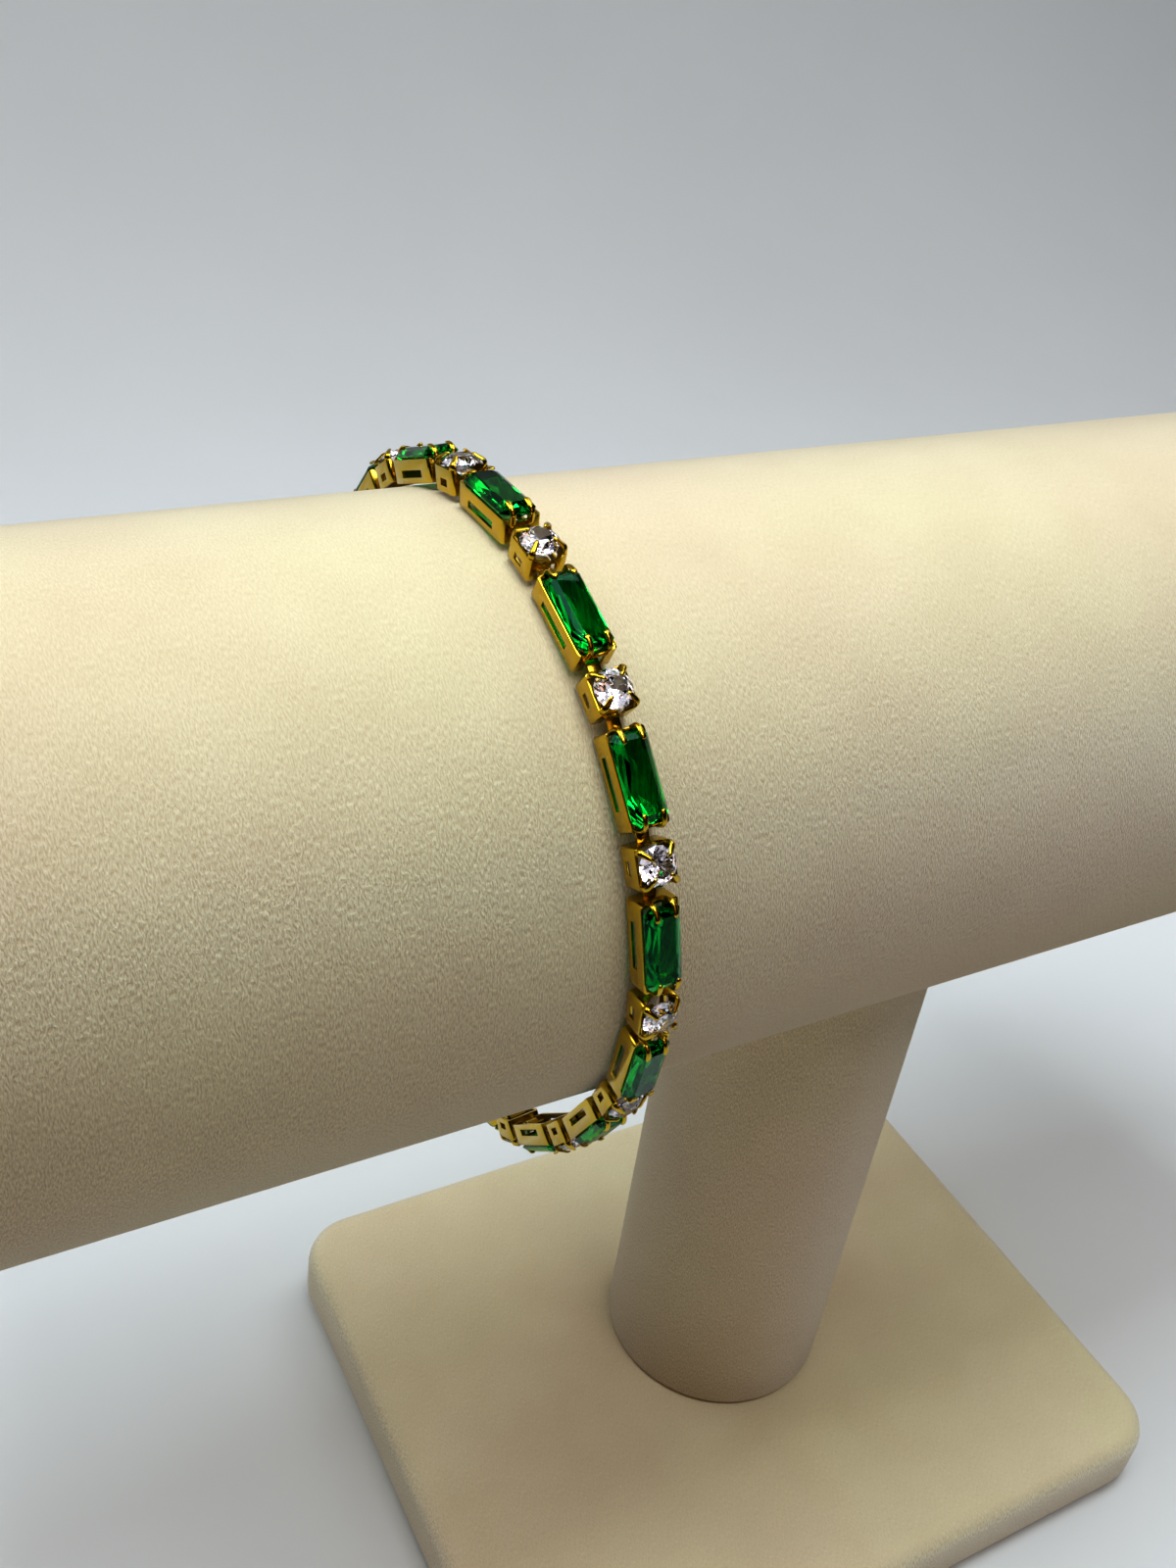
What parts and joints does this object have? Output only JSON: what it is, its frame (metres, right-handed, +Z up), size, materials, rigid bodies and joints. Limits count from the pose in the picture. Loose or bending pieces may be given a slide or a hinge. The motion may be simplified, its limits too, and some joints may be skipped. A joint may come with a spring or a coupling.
{
  "type": "tennis bracelet on t-bar display stand",
  "caption": "Tennis bracelet of long green step-cut and round clear stones in gold box settings, looped over the round arm of a plain velvet T-bar display stand.",
  "frame": {"origin": "middle of the stand's flat underside, on the surface it stands on", "axes": "+X along the stand's arm, +Z up, -Y towards the viewer at the front"},
  "size_m": [0.186, 0.075, 0.1362],
  "materials": {
    "velvet": "cream short-pile velvet, matt with a soft sheen",
    "gold": "polished yellow gold plate",
    "green_stone": "clear deep green cut stone, polished",
    "clear_stone": "colourless cut stone, polished"
  },
  "bodies": {
    "root": {"clasp": "gold", "green_setting_01": "gold", "green_setting_02": "gold", "green_setting_03": "gold", "green_setting_04": "gold", "green_setting_05": "gold", "green_setting_07": "gold", "green_setting_08": "gold", "green_setting_09": "gold", "green_setting_10": "gold", "green_setting_11": "gold", "green_setting_12": "gold", "green_setting_13": "gold", "green_setting_14": "gold", "green_setting_15": "gold", "green_stone_01": "green_stone", "green_stone_02": "green_stone", "green_stone_03": "green_stone", "green_stone_04": "green_stone", "green_stone_05": "green_stone", "green_stone_07": "green_stone", "green_stone_08": "green_stone", "green_stone_09": "green_stone", "green_stone_10": "green_stone", "green_stone_11": "green_stone", "green_stone_12": "green_stone", "green_stone_13": "green_stone", "green_stone_14": "green_stone", "green_stone_15": "green_stone", "round_link_01": "gold", "round_link_02": "gold", "round_link_03": "gold", "round_link_04": "gold", "round_link_05": "gold", "round_link_06": "gold", "round_link_07": "gold", "round_link_08": "gold", "round_link_09": "gold", "round_link_10": "gold", "round_link_11": "gold", "round_link_12": "gold", "round_link_13": "gold", "round_link_14": "gold", "round_link_15": "gold", "stand_arm": "velvet", "stand_base": "velvet", "stand_post": "velvet"}
  },
  "joints": []
}
